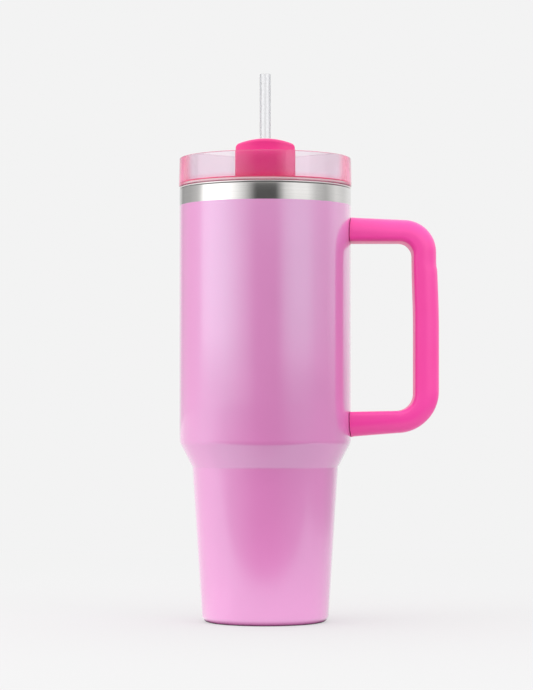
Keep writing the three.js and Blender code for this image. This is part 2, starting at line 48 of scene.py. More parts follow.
ROUND = 192        # facets round a large turned piece
SMALL_ROUND = 64   # facets round a small one
SHARP = math.radians(32)
WELD = 1e-7        # points closer than this are one point

# ---------------------------------------------------------------- sizes

shell_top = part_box("outer_shell")[1]
liner_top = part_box("inner_liner")[1]
ring_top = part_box("lid_base")[1]
cover_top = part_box("rotating_cover")[1]
straw_low, straw_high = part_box("straw")
handle_low, handle_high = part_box("handle_shell")

CUP_RADIUS = shell_top.x / MM
SHELL_TOP = shell_top.z / MM
RIM_TOP = liner_top.z / MM
RING_RADIUS = ring_top.x / MM
RING_TOP = ring_top.z / MM
TAB_TOP = cover_top.z / MM
STRAW_RADIUS = straw_high.x / MM
HANDLE_REACH = handle_high.x / MM
HANDLE_WIDTH = (handle_high.y - handle_low.y) / MM

SHELL_WALL = 0.5
CUP_WALL = 3.6
FOOT_RADIUS = 36.1
WAIST_RADIUS = 41.75
WAIST_Z = 88.3
SHOULDER_Z = 102.2
SHOULDER_ROUNDING = 6.5
FOOT_ROUNDING = 4.2
RIM_THICKNESS, RIM_SETBACK = 1, 0.1
PAINT_TOP = 237.3
PAINT_THICKNESS = 0.04
LIP_RADIUS = 31.8
BASE_COVER_RADIUS, BASE_COVER_THICKNESS = 31.3, 0.8
FLOOR_Z = 7.3

SADDLE_RADIUS = CUP_RADIUS + 0.35  # the handle's ends stop just short of the wall
CHANNEL_WALL = 3


# ---------------------------------------------------------------- mesh helpers

def shade_smooth(bm):
    """Smooth shading, except across edges sharper than the limit."""
    for face in bm.faces:
        face.smooth = True
    for edge in bm.edges:
        edge.smooth = len(edge.link_faces) == 2 and edge.calc_face_angle() < SHARP


def finish_mesh(bm, name):
    """Makes an object of a bmesh, with its faces pointing out."""
    bmesh.ops.remove_doubles(bm, verts=bm.verts, dist=WELD)
    bmesh.ops.recalc_face_normals(bm, faces=bm.faces)
    shade_smooth(bm)
    mesh = bpy.data.meshes.new(name)
    bm.to_mesh(mesh)
    bm.free()
    piece = bpy.data.objects.new(name, mesh)
    bpy.context.scene.collection.objects.link(piece)
    return piece


def round_corners(corners, closed=True):
    """Turns corners (r, z, rounding) into points, each rounding an arc that meets both sides."""
    points = []
    count = len(corners)
    for i, corner in enumerate(corners):
        here = Vector(corner[:2])
        rounding = corner[2] if len(corner) > 2 else 0
        if rounding == 0 or (not closed and i in (0, count - 1)):
            points.append(here)
            continue
        before = (Vector(corners[i - 1][:2]) - here).normalized()
        after = (Vector(corners[(i + 1) % count][:2]) - here).normalized()
        half = before.angle(after) / 2
        centre = here + (before + after).normalized() * (rounding / math.sin(half))
        reach = rounding / math.tan(half)
        start = here + before * reach - centre
        end = here + after * reach - centre
        sweep = math.atan2(start.x * end.y - start.y * end.x, start.dot(end))
        steps = max(3, math.ceil(abs(sweep) * (2 + 2.2 * math.sqrt(rounding))))
        for k in range(steps + 1):
            angle = sweep * k / steps
            cos, sin = math.cos(angle), math.sin(angle)
            spoke = Vector((start.x * cos - start.y * sin, start.x * sin + start.y * cos))
            points.append(centre + spoke)
    return points


def turned(name, corners, closed=True, segments=ROUND):
    """A piece turned about Z. A profile that isn't closed starts and ends on the axis."""
    profile = round_corners(corners, closed)
    bm = bmesh.new()
    columns = []
    for k in range(segments):
        angle = 2 * math.pi * k / segments
        cos, sin = math.cos(angle) * MM, math.sin(angle) * MM
        columns.append([bm.verts.new((p.x * cos, p.x * sin, p.y * MM)) for p in profile])
    spans = len(profile) if closed else len(profile) - 1
    for k in range(segments):
        this, following = columns[k], columns[(k + 1) % segments]
        for i in range(spans):
            j = (i + 1) % len(profile)
            corners_of_face = [this[i], following[i], following[j], this[j]]
            if not closed and i == 0:
                corners_of_face = [this[i], following[j], this[j]]
            if not closed and i == spans - 1:
                corners_of_face = [this[i], following[i], this[j]]
            bm.faces.new(corners_of_face)
    return finish_mesh(bm, name)


def extruded(name, outline, bottom, top):
    """A straight-sided piece from an outline seen from above."""
    bm = bmesh.new()
    low = [bm.verts.new((x * MM, y * MM, bottom * MM)) for x, y in outline]
    high = [bm.verts.new((x * MM, y * MM, top * MM)) for x, y in outline]
    count = len(outline)
    for i in range(count):
        j = (i + 1) % count
        bm.faces.new([low[i], low[j], high[j], high[i]])
    bm.faces.new(list(reversed(low)))
    bm.faces.new(high)
    return finish_mesh(bm, name)


def arc(centre, radius, start, end, steps):
    """Points on an arc, angles in radians."""
    return [
        (
            centre[0] + radius * math.cos(start + (end - start) * k / steps),
            centre[1] + radius * math.sin(start + (end - start) * k / steps),
        )
        for k in range(steps + 1)
    ]


def arc_slot(radius, half_width, middle, half_angle):
    """An opening that follows a circle about the axis and has round ends."""
    start, end = middle - half_angle, middle + half_angle
    start_centre = (radius * math.cos(start), radius * math.sin(start))
    end_centre = (radius * math.cos(end), radius * math.sin(end))
    side_steps, end_steps = 24, 16
    points = arc((0, 0), radius + half_width, start, end, side_steps)
    points += arc(end_centre, half_width, end, end + math.pi, end_steps)[1:-1]
    points += arc((0, 0), radius - half_width, end, start, side_steps)
    points += arc(start_centre, half_width, start + math.pi, start + 2 * math.pi, end_steps)[1:-1]
    return points


def boolean(piece, other, operation="DIFFERENCE"):
    """Cuts one piece with another, or joins them, and removes the other."""
    modifier = piece.modifiers.new("boolean", "BOOLEAN")
    modifier.operation = operation
    modifier.solver = "EXACT"
    modifier.object = other
    graph = bpy.context.evaluated_depsgraph_get()
    result = bpy.data.meshes.new_from_object(piece.evaluated_get(graph))
    piece.modifiers.clear()
    old = piece.data
    piece.data = result
    bpy.data.meshes.remove(old)
    bpy.data.objects.remove(other)
    bm = bmesh.new()
    bm.from_mesh(piece.data)
    bmesh.ops.dissolve_degenerate(bm, edges=bm.edges, dist=WELD)
    shade_smooth(bm)
    bm.to_mesh(piece.data)
    bm.free()
    return piece


def rings_to_piece(name, rings):
    """A closed piece lofted through rings of equally many points, with capped ends."""
    bm = bmesh.new()
    rows = [[bm.verts.new(Vector(p) * MM) for p in ring] for ring in rings]
    size = len(rings[0])
    for row, following in zip(rows, rows[1:]):
        for i in range(size):
            j = (i + 1) % size
            bm.faces.new([row[i], row[j], following[j], following[i]])
    ends = [bm.faces.new(rows[0]), bm.faces.new(list(reversed(rows[-1])))]
    bmesh.ops.triangulate(bm, faces=ends)
    return finish_mesh(bm, name)


# ---------------------------------------------------------------- materials

class Graph:
    """Adds nodes to a node tree."""

    def __init__(self, tree):
        self.tree = tree

    def add(self, kind, **settings):
        node = self.tree.nodes.new(kind)
        for key, value in settings.items():
            setattr(node, key, value)
        return node

    def link(self, source, target):
        self.tree.links.new(source, target)

    def maths(self, operation, *values):
        """The result of an operation on values, each a plain number or another node's value."""
        node = self.add("ShaderNodeMath", operation=operation)
        for socket, value in zip(node.inputs, values):
            if isinstance(value, (int, float)):
                socket.default_value = value
            else:
                self.link(value, socket)
        return node.outputs["Value"]

    def length(self, vector):
        """The length of another node's vector."""
        node = self.add("ShaderNodeVectorMath", operation="LENGTH")
        self.link(vector, node.inputs[0])
        return node.outputs["Value"]

    def smooth(self, value, start, end):
        """Rises softly from 0 to 1 as a value goes from start to end."""
        node = self.add("ShaderNodeMapRange", interpolation_type="SMOOTHSTEP")
        node.inputs["From Min"].default_value = start
        node.inputs["From Max"].default_value = end
        self.link(value, node.inputs["Value"])
        return node.outputs["Result"]

    def mixed(self, factor, first, second):
        """A colour between two, each a plain colour or another node's colour."""
        node = self.add("ShaderNodeMix", data_type="RGBA")
        self.link(factor, node.inputs["Factor"])
        for name, value in (("A", first), ("B", second)):
            if isinstance(value, tuple):
                node.inputs[name].default_value = (*value, 1)
            else:
                self.link(value, node.inputs[name])
        return node.outputs["Result"]

    def mixed_shaders(self, factor, first, second):
        """A shader between two, which are given as output sockets."""
        node = self.add("ShaderNodeMixShader")
        self.link(factor, node.inputs["Fac"])
        self.link(first, node.inputs[1])
        self.link(second, node.inputs[2])
        return node.outputs["Shader"]


class Nodes(Graph):
    """Builds one procedural material round its Principled shader."""

    def __init__(self, name):
        self.material = bpy.data.materials.new(name)
        self.material.use_nodes = True
        super().__init__(self.material.node_tree)
        self.shader = self.tree.nodes["Principled BSDF"]
        self.output = self.tree.nodes["Material Output"]

    def plain(self, **values):
        """Sets sockets of the shader to plain values. Underscores stand for spaces."""
        for key, value in values.items():
            self.shader.inputs[key.replace("_", " ")].default_value = value

    def place(self, stretch=(1, 1, 1)):
        """The piece's own coordinates, in metres, stretched."""
        coordinates = self.add("ShaderNodeTexCoord")
        mapping = self.add("ShaderNodeMapping")
        mapping.inputs["Scale"].default_value = stretch
        self.link(coordinates.outputs["Object"], mapping.inputs["Vector"])
        return mapping.outputs["Vector"]

    def noise(self, scale, detail, stretch=(1, 1, 1), roughness=0.5):
        """Soft random shades from 0 to 1, scale of them to the metre."""
        node = self.add("ShaderNodeTexNoise")
        node.inputs["Scale"].default_value = scale
        node.inputs["Detail"].default_value = detail
        node.inputs["Roughness"].default_value = roughness
        self.link(self.place(stretch), node.inputs["Vector"])
        return node.outputs["Fac"]

    def cells(self, scale):
        """Small cells with a random colour each, as flakes have."""
        node = self.add("ShaderNodeTexVoronoi")
        node.inputs["Scale"].default_value = scale
        self.link(self.place(), node.inputs["Vector"])
        return node.outputs["Color"]

    def colours(self, factor, low, high):
        """A colour between two, by a factor that is mostly near the middle, as noise is."""
        ramp = self.add("ShaderNodeValToRGB")
        for stop, position, colour in zip(ramp.color_ramp.elements, (0.3, 0.7), (low, high)):
            stop.position = position
            stop.color = (*colour, 1)
        self.link(factor, ramp.inputs["Fac"])
        return ramp.outputs["Color"]

    def span(self, factor, low, high):
        """A number between two, by a factor."""
        node = self.add("ShaderNodeMapRange")
        node.inputs["To Min"].default_value = low
        node.inputs["To Max"].default_value = high
        self.link(factor, node.inputs["Value"])
        return node.outputs["Result"]

    def bump(self, height, strength, distance):
        """A normal for fine relief. The distance is in metres."""
        node = self.add("ShaderNodeBump")
        node.inputs["Strength"].default_value = strength
        node.inputs["Distance"].default_value = distance
        self.link(height, node.inputs["Height"])
        return node.outputs["Normal"]


def pearl_paint():
    """Glossy clear lacquer over a pink coat with fine pearl flakes."""
    n = Nodes("pearl_paint")
    cloud = n.noise(22, detail=2)
    n.link(n.colours(cloud, (0.76, 0.235, 0.545), (0.80, 0.25, 0.575)), n.shader.inputs["Base Color"])
    flakes = n.cells(5200)
    n.link(n.span(flakes, 0.17, 0.24), n.shader.inputs["Roughness"])
    n.link(n.bump(flakes, 0.03, 0.00004), n.shader.inputs["Normal"])
    peel = n.noise(260, detail=1)
    n.link(n.bump(peel, 0.02, 0.0002), n.shader.inputs["Coat Normal"])
    n.plain(IOR=2, Specular_Tint=(0.12, 1, 0.8, 1), Coat_Weight=1, Coat_Roughness=0.05, Coat_IOR=1.5)
    return n.material


def turned_steel(name, tone, smoothest, roughest):
    """Bare stainless steel with the fine lines of turning."""
    n = Nodes(name)
    lines = n.noise(1, detail=4, stretch=(30, 30, 5200), roughness=0.6)
    n.link(n.colours(lines, (tone, tone * 0.985, tone * 0.965), (tone * 1.14, tone * 1.12, tone * 1.1)),
           n.shader.inputs["Base Color"])
    n.link(n.span(lines, smoothest, roughest), n.shader.inputs["Roughness"])
    n.link(n.bump(lines, 0.06, 0.00005), n.shader.inputs["Normal"])
    n.plain(Metallic=1)
    return n.material


def moulded_plastic(name, low, high, roughness, haze=0):
    """Moulded plastic with a fine grain, an uneven tone and, where it is dusty, a haze at low angles."""
    n = Nodes(name)
    n.link(n.colours(n.noise(30, detail=2), low, high), n.shader.inputs["Base Color"])
    fine = n.noise(1500, detail=2)
    n.link(n.span(fine, roughness - 0.04, roughness + 0.05), n.shader.inputs["Roughness"])
    n.link(n.bump(fine, 0.08, 0.00006), n.shader.inputs["Normal"])
    n.plain(Sheen_Weight=haze, Sheen_Roughness=0.4)
    return n.material


# How far above the ledge of a clear piece its painted deeper tint, its painted bright line and its painted
# pale highlight at the foot start, and how far above it they are full, in metres. All three paint light and
# shade into the colour by height.
LEDGE_PAINTED_TINT = (0.0035, -0.0005)
LEDGE_PAINTED_LINE = (0.0003, 0)
LEDGE_PAINTED_HIGHLIGHT = (-0.0004, -0.0007)


def clear_plastic(name, absorb, strength, face, edge, shade, slant, ripple=0, ledge=0):
    """Clear plastic that tints light by its way through. Where its wall is seen edge on its colour is painted
    towards its edge colour, and along its ledge it is painted a deeper tint, a bright line and a pale
    highlight at its foot: painted light and shade standing in for the light that the edge of a clear sheet
    gathers and scatters.
    A piece without a ledge leaves it at 0, which is below the piece."""
    n = Nodes(name)
    n.plain(IOR=1.49)
    facing = n.add("ShaderNodeLayerWeight").outputs["Facing"]
    split = n.add("ShaderNodeSeparateXYZ")
    n.link(n.place(), split.inputs["Vector"])
    # Seen edge on, the wall is painted towards its edge colour and lets less light through: painted light and
    # shade along its edges.
    rim = n.smooth(facing, *slant)
    # Masks painted by height: a deeper tint above the ledge, a bright line at it and a pale highlight below
    # it.
    thick, line, foot = (
        n.smooth(split.outputs["Z"], ledge + start, ledge + full)
        for start, full in (LEDGE_PAINTED_TINT, LEDGE_PAINTED_LINE, LEDGE_PAINTED_HIGHLIGHT)
    )
    n.link(n.span(n.maths("MAXIMUM", rim, line), 1, 0.5), n.shader.inputs["Transmission Weight"])
    # Colours of the painted deeper tint, the painted bright line and the painted pale highlight.
    painted_deep_tint = tuple(0.66 * a + 0.34 * b for a, b in zip(face, edge))
    painted_bright_line = tuple(a ** 1.6 for a in edge)
    painted_pale_highlight = tuple(0.9 + 0.1 * a for a in edge)
    colour = n.mixed(thick, face, painted_deep_tint)
    colour = n.mixed(line, colour, painted_bright_line)
    colour = n.mixed(foot, colour, painted_pale_highlight)
    n.link(n.mixed(rim, colour, edge), n.shader.inputs["Base Color"])
    swirl = n.noise(90, detail=1)
    n.link(n.span(swirl, 0, 0.03), n.shader.inputs["Roughness"])
    n.link(n.bump(swirl, ripple, 0.0004), n.shader.inputs["Normal"])
    tinted_shadow = n.add("ShaderNodeBsdfTransparent")
    tinted_shadow.inputs["Color"].default_value = (*shade, 1)
    in_shadow = n.add("ShaderNodeLightPath").outputs["Is Shadow Ray"]
    surface = n.mixed_shaders(in_shadow, n.shader.outputs["BSDF"], tinted_shadow.outputs["BSDF"])
    n.link(surface, n.output.inputs["Surface"])
    inside = n.add("ShaderNodeVolumeAbsorption")
    inside.inputs["Color"].default_value = (*absorb, 1)
    inside.inputs["Density"].default_value = strength
    n.link(inside.outputs["Volume"], n.output.inputs["Volume"])
    return n.material


def silicone():
    """Soft milky silicone with a dusty surface."""
    n = Nodes("silicone")
    dust = n.noise(700, detail=3)
    tone = (0.86, 0.78, 0.81)
    shaded = tuple(c * 0.93 for c in tone)
    n.link(n.colours(dust, shaded, tone), n.shader.inputs["Base Color"])
    n.link(n.span(dust, 0.48, 0.62), n.shader.inputs["Roughness"])
    n.link(n.bump(dust, 0.1, 0.00005), n.shader.inputs["Normal"])
    n.plain(Subsurface_Weight=0.3, Subsurface_Scale=0.002)
    return n.material


def foil_metal():
    """Thin copper sheet, creased and slightly tarnished."""
    n = Nodes("foil_metal")
    creases = n.noise(120, detail=4)
    n.link(n.colours(creases, (0.72, 0.36, 0.22), (0.86, 0.52, 0.36)), n.shader.inputs["Base Color"])
    n.link(n.span(creases, 0.22, 0.4), n.shader.inputs["Roughness"])
    n.link(n.bump(creases, 0.4, 0.0004), n.shader.inputs["Normal"])
    n.plain(Metallic=1)
    return n.material


def pressed_powder():
    """Sintered metal powder."""
    n = Nodes("pressed_powder")
    grain = n.noise(2600, detail=3)
    n.link(n.colours(grain, (0.10, 0.10, 0.11), (0.20, 0.20, 0.21)), n.shader.inputs["Base Color"])
    n.link(n.span(grain, 0.6, 0.8), n.shader.inputs["Roughness"])
    n.link(n.bump(grain, 0.3, 0.00008), n.shader.inputs["Normal"])
    n.plain(Metallic=0.6)
    return n.material


def fused_glass():
    """A dark bead of glass solder."""
    n = Nodes("fused_glass")
    flow = n.noise(500, detail=2)
    n.link(n.colours(flow, (0.02, 0.025, 0.03), (0.05, 0.055, 0.065)), n.shader.inputs["Base Color"])
    n.link(n.span(flow, 0.08, 0.18), n.shader.inputs["Roughness"])
    n.link(n.bump(flow, 0.1, 0.0001), n.shader.inputs["Normal"])
    return n.material


def dress(piece, material):
    """Gives a piece its one material."""
    piece.data.materials.clear()
    piece.data.materials.append(material)


def show(piece, body, material, slot, *nodes):
    """Gives a new piece its body and its material, and hides the CAD nodes it stands for."""
    dress(piece, material)
    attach(piece, body)
    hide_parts(*nodes)


# ---------------------------------------------------------------- the cup

def painted_wall():
    """The outer wall up to the edge of the paint."""
    inside = SHOULDER_ROUNDING - SHELL_WALL
    return turned("painted_wall", [
        (LIP_RADIUS, 0, 0.15),
        (FOOT_RADIUS, 0, FOOT_ROUNDING),
        (WAIST_RADIUS, WAIST_Z, 2),
        (CUP_RADIUS, SHOULDER_Z, SHOULDER_ROUNDING),
        (CUP_RADIUS, PAINT_TOP, PAINT_THICKNESS),
        (CUP_RADIUS - SHELL_WALL, PAINT_TOP),
        (CUP_RADIUS - SHELL_WALL, SHOULDER_Z, inside),
        (WAIST_RADIUS - SHELL_WALL, WAIST_Z, 2.5),
        (FOOT_RADIUS - SHELL_WALL, SHELL_WALL, FOOT_ROUNDING - SHELL_WALL),
        (LIP_RADIUS, SHELL_WALL),
    ])


def neck_band():
    """The bare top of the outer wall, just behind the paint's face."""
    face = CUP_RADIUS - PAINT_THICKNESS
    return turned("neck_band", [
        (face, PAINT_TOP),
        (face, SHELL_TOP, 0.2),
        (CUP_RADIUS - SHELL_WALL, SHELL_TOP),
        (CUP_RADIUS - SHELL_WALL, PAINT_TOP),
    ])


def inner_liner():
    """The inner wall, with its floor and the rolled rim that covers the outer wall's top."""
    inner = CUP_RADIUS - CUP_WALL
    outer = inner + SHELL_WALL
    waist = WAIST_RADIUS - CUP_WALL
    foot = FOOT_RADIUS + (WAIST_RADIUS - FOOT_RADIUS) * FLOOR_Z / WAIST_Z - CUP_WALL
    lip = CUP_RADIUS - RIM_SETBACK
    return turned("inner_liner_wall", [
        (0, FLOOR_Z - SHELL_WALL),
        (foot + SHELL_WALL, FLOOR_Z - SHELL_WALL, 8),
        (waist + SHELL_WALL, WAIST_Z, 2),
        (outer, SHOULDER_Z, 6),
        (outer, RIM_TOP - RIM_THICKNESS),
        (lip, RIM_TOP - RIM_THICKNESS, 0.45),
        (lip, RIM_TOP, 0.45),
        (inner, RIM_TOP, 1),
        (inner, SHOULDER_Z, 6),
        (waist, WAIST_Z, 2),
        (foot, FLOOR_Z, 7.5),
        (0, FLOOR_Z),
    ], closed=False)


def base_cover():
    """The disc under the cup, with a shallow ring pressed into it."""
    ring_start, ring_end = 27.6, 29.6
    slope, depth = 0.5, 0.25
    return turned("base_plate", [
        (0, 0),
        (ring_start, 0, 0.3),
        (ring_start + slope, depth, 0.2),
        (ring_end - slope, depth, 0.2),
        (ring_end, 0, 0.3),
        (BASE_COVER_RADIUS, 0, 0.3),
        (BASE_COVER_RADIUS, BASE_COVER_THICKNESS, 0.1),
        (0, BASE_COVER_THICKNESS),
    ], closed=False)


# ---------------------------------------------------------------- the handle

ARM_START = 46
UPPER_INNER, UPPER_OUTER, UPPER_CORNER_OUTER = 216.5, 230.7, 229.2
UPPER_INNER_RADIUS, UPPER_OUTER_RADIUS = 7.8, 18.5
LOWER_INNER, LOWER_OUTER = 119.8, 105.4
LOWER_CORNER_INNER, LOWER_CORNER_OUTER = 120.4, 107.7
LOWER_INNER_RADIUS, LOWER_OUTER_RADIUS = 9.8, 24
GRIP_INNER, GRIP_OUTER = 85, HANDLE_REACH
GRIP_INNER_TOP, GRIP_OUTER_TOP = 84.15, 97.45
BULGE_X, BULGE_Z, BULGE_FULL_Z = 98.1, 200, 166
BULGE_STEP = 4         # height over which the grip steps out to its bulge
GRIP_INNER_RUN = 40    # height over which the grip's inner face leans out
STRIP_GAP, STRIP_RECESS, STRIP_THICKNESS = 0.25, 0.05, 2
INNER_EDGE_ROUNDING, OUTER_EDGE_ROUNDING = 2.8, 9
CORNER_STEPS, GRIP_STEPS, ARM_STEPS = 20, 40, 6


def between(start, end, steps):
    """Even steps along a line, without its last point."""
    (x0, z0), (x1, z1) = start, end
    return [(x0 + (x1 - x0) * k / steps, z0 + (z1 - z0) * k / steps) for k in range(steps)]


def smooth_step(t):
    """Rises softly from 0 to 1, as t does."""
    return t * t * (3 - 2 * t)


def grip_outer_x(z):
    """The grip's outer face: it steps out softly at its upper end and then swells a little."""
    if z >= BULGE_Z + BULGE_STEP:
        return GRIP_OUTER_TOP
    if z >= BULGE_Z:
        share = smooth_step((BULGE_Z + BULGE_STEP - z) / BULGE_STEP)
        return GRIP_OUTER_TOP + (BULGE_X - GRIP_OUTER_TOP) * share
    if z >= BULGE_FULL_Z:
        share = math.sin(math.pi / 2 * (BULGE_Z - z) / (BULGE_Z - BULGE_FULL_Z))
        return BULGE_X + (GRIP_OUTER - BULGE_X) * share
    return GRIP_OUTER


def grip_inner_x(z):
    """The grip's inner face: below the upper corner it leans out a little."""
    share = min(1, max(0, (UPPER_INNER - UPPER_INNER_RADIUS - z) / GRIP_INNER_RUN))
    return GRIP_INNER_TOP + (GRIP_INNER - GRIP_INNER_TOP) * smooth_step(share)


def handle_stations():
    """Pairs of inner and outer points from the upper arm round to the lower arm."""
    quarter = math.pi / 2

    def upper(x, z, radius):
        return arc((x - radius, z - radius), radius, quarter, 0, CORNER_STEPS)

    def lower(x, z, radius):
        return arc((x - radius, z + radius), radius, 0, -quarter, CORNER_STEPS)

    inner_top = upper(GRIP_INNER_TOP, UPPER_INNER, UPPER_INNER_RADIUS)
    outer_top = upper(GRIP_OUTER_TOP, UPPER_CORNER_OUTER, UPPER_OUTER_RADIUS)
    inner_foot = lower(GRIP_INNER, LOWER_CORNER_INNER, LOWER_INNER_RADIUS)
    outer_foot = lower(GRIP_OUTER, LOWER_CORNER_OUTER, LOWER_OUTER_RADIUS)
    grip_inner, grip_outer = [], []
    for k in range(1, GRIP_STEPS):
        share = k / GRIP_STEPS
        zi = inner_top[-1][1] + (inner_foot[0][1] - inner_top[-1][1]) * share
        zo = outer_top[-1][1] + (outer_foot[0][1] - outer_top[-1][1]) * share
        grip_inner.append((grip_inner_x(zi), zi))
        grip_outer.append((grip_outer_x(zo), zo))
    inner = between((ARM_START, UPPER_INNER), inner_top[0], ARM_STEPS) + inner_top + grip_inner
    outer = between((ARM_START, UPPER_OUTER), outer_top[0], ARM_STEPS) + outer_top + grip_outer
    lower_inner = between((ARM_START, LOWER_INNER), inner_foot[-1], ARM_STEPS)
    lower_outer = between((ARM_START, LOWER_OUTER), outer_foot[-1], ARM_STEPS)
    inner += inner_foot + lower_inner[::-1]
    outer += outer_foot + lower_outer[::-1]
    return list(zip(inner, outer))


def sweep_handle(name, section):
    """Sweeps a section of (depth from the inner face, y) along the handle. Its ends fit the cup."""
    rings = []
    for (xi, zi), (xo, zo) in handle_stations():
        depth = math.hypot(xo - xi, zo - zi)
        ux, uz = (xo - xi) / depth, (zo - zi) / depth
        ring = []
        for d, y in section(depth):
            saddle = math.sqrt(SADDLE_RADIUS ** 2 - y ** 2)
            ring.append((max(xi + ux * d, saddle), y, zi + uz * d))
        rings.append(ring)
    return rings_to_piece(name, rings)


def channel_section(depth):
    """The handle's moulding: a channel, open towards the fingers."""
    half = HANDLE_WIDTH / 2
    inner_half = half - CHANNEL_WALL
    points = round_corners([
        (0, -inner_half, 0.4),
        (0, -half, INNER_EDGE_ROUNDING),
        (depth, -half, OUTER_EDGE_ROUNDING),
        (depth, half, OUTER_EDGE_ROUNDING),
        (0, half, INNER_EDGE_ROUNDING),
        (0, inner_half, 0.4),
        (depth - CHANNEL_WALL, inner_half, 0.5),
        (depth - CHANNEL_WALL, -inner_half, 0.5),
    ])
    return [tuple(p) for p in points]


def strip_section(_depth):
    """The flat strip that closes the channel, equally thick whatever the handle's depth."""
    half = HANDLE_WIDTH / 2 - CHANNEL_WALL - STRIP_GAP
    points = round_corners([
        (STRIP_RECESS, -half, 0.35),
        (STRIP_THICKNESS, -half, 0.1),
        (STRIP_THICKNESS, half, 0.1),
        (STRIP_RECESS, half, 0.35),
    ])
    return [tuple(p) for p in points]


# ---------------------------------------------------------------- the lid

SIP_RADIUS, SIP_HALF_WIDTH, SIP_HALF_ANGLE = 35, 4, math.radians(14)
LID_FLOOR_TOP, LID_FLOOR_BOTTOM = 243, 240.5
SKIRT_RADIUS, SKIRT_INNER, SKIRT_BOTTOM = 44.7, 42.3, 231
GASKET_GROOVE_RADIUS, GASKET_GROOVE_BOTTOM, GASKET_GROOVE_TOP = 43.5, 235.5, 240.5
RECESS_RADIUS = 43.4
RING_BOTTOM, LEDGE_Z = 248.2, 250
RING_TOP_RADIUS, RING_INNER = 48.95, 46.7
SPIGOT_RADIUS, SPIGOT_TOP = 8, 249.3
SEAL_GROOVE_RADIUS, SEAL_GROOVE_BOTTOM, SEAL_GROOVE_TOP = 7.2, 244.6, 246.2
CLIP_GROOVE_RADIUS, CLIP_GROOVE_BOTTOM, CLIP_GROOVE_TOP = 7.3, 246.9, 248.3
STRAW_HOLE_RADIUS = 5.6
STRAW_BORE_RADIUS = 2.5
COVER_BOTTOM, COVER_FACE = 244, 246.8
COVER_RADIUS = 42.9
COVER_HOLE_RADIUS = 8.4
COVER_DISH_RADIUS, COVER_DISH_DEPTH = 12, 0.35


def lid_ring():
    """The clear lid: skirt with a gasket groove, outer ring, recessed floor and grooved spigot."""
    piece = turned("lid_ring", [
        (SKIRT_INNER, SKIRT_BOTTOM, 0.9),
        (SKIRT_RADIUS, SKIRT_BOTTOM, 0.9),
        (SKIRT_RADIUS, GASKET_GROOVE_BOTTOM, 0.15),
        (GASKET_GROOVE_RADIUS, GASKET_GROOVE_BOTTOM, 0.2),
        (GASKET_GROOVE_RADIUS, GASKET_GROOVE_TOP, 0.2),
        (SKIRT_RADIUS, GASKET_GROOVE_TOP, 0.15),
        (SKIRT_RADIUS, RING_BOTTOM, 0.4),
        (RING_RADIUS, RING_BOTTOM, 0.6),
        (RING_TOP_RADIUS, RING_TOP, 0.7),
        (RING_INNER, RING_TOP, 0.3),
        (RING_INNER, LEDGE_Z, 0.35),
        (RECESS_RADIUS, LEDGE_Z, 0.6),
        (RECESS_RADIUS, LID_FLOOR_TOP, 0.6),
        (SPIGOT_RADIUS, LID_FLOOR_TOP, 0.4),
        (SPIGOT_RADIUS, SEAL_GROOVE_BOTTOM, 0.1),
        (SEAL_GROOVE_RADIUS, SEAL_GROOVE_BOTTOM),
        (SEAL_GROOVE_RADIUS, SEAL_GROOVE_TOP),
        (SPIGOT_RADIUS, SEAL_GROOVE_TOP, 0.1),
        (SPIGOT_RADIUS, CLIP_GROOVE_BOTTOM, 0.1),
        (CLIP_GROOVE_RADIUS, CLIP_GROOVE_BOTTOM),
        (CLIP_GROOVE_RADIUS, CLIP_GROOVE_TOP),
        (SPIGOT_RADIUS, CLIP_GROOVE_TOP, 0.1),
        (SPIGOT_RADIUS, SPIGOT_TOP, 0.3),
        (STRAW_HOLE_RADIUS, SPIGOT_TOP, 0.1),
        (STRAW_HOLE_RADIUS, LID_FLOOR_BOTTOM, 0.2),
        (SKIRT_INNER, LID_FLOOR_BOTTOM, 1),
    ])
    outline = arc_slot(SIP_RADIUS, SIP_HALF_WIDTH, -math.pi / 2, SIP_HALF_ANGLE)
    cutter = extruded("sip_cutter", outline, LID_FLOOR_BOTTOM - 1, LID_FLOOR_TOP + 0.5)
    return boolean(piece, cutter)


def lid_gasket():
    """The ring that grips the neck with two lips."""
    gap = 0.4
    bottom, top = GASKET_GROOVE_BOTTOM + gap, GASKET_GROOVE_TOP - gap
    inner, shoulder, lip, waist = 43.8, 44.75, 45.15, 44.6
    lip_rise, waist_rise = 1, 1.8
    return turned("lid_gasket_ring", [
        (inner, bottom, 0.2),
        (shoulder, bottom, 0.15),
        (lip, bottom + lip_rise, 0.12),
        (waist, bottom + waist_rise, 0.3),
        (waist, top - waist_rise, 0.3),
        (lip, top - lip_rise, 0.12),
        (shoulder, top, 0.15),
        (inner, top, 0.2),
    ])


TAB_HALF_WIDTH, TAB_BACK = 16.5, -21
TAB_REACH = COVER_RADIUS - 0.05
TAB_CROWN = 45.6         # radius of the arched top
TAB_WALL = 2.3
TAB_ROUNDING = 1.9
TAB_FRONT_ROUNDING, TAB_BACK_ROUNDING = 1.4, 4


def tab_plan(inset):
    """The tab's outline from above, or one inside it: an arc along the lid's rim and round corners."""
    reach = TAB_REACH - inset
    half = TAB_HALF_WIDTH - inset
    back = TAB_BACK - inset
    corner = max(TAB_BACK_ROUNDING - inset, 0.6)
    front = max(TAB_FRONT_ROUNDING - inset * 0.3, 0.5)
    front_x = half - front
    front_y = -math.sqrt((reach - front) ** 2 - front_x ** 2)
    lean = math.atan2(front_y, front_x)
    points = arc((0, 0), reach, -math.pi - lean, lean, 40)
    points += arc((front_x, front_y), front, lean, 0, 8)[1:]
    points += arc((half - corner, back - corner), corner, 0, math.pi / 2, 10)
    points += arc((-half + corner, back - corner), corner, math.pi / 2, math.pi, 10)
    points += arc((-front_x, front_y), front, math.pi, math.pi - lean, 8)[:-1]
    return points


def crown_z(x, depth):
    """Height of the arched top, or of a surface some way below it."""
    return TAB_TOP - TAB_CROWN + math.sqrt((TAB_CROWN - depth) ** 2 - x ** 2)


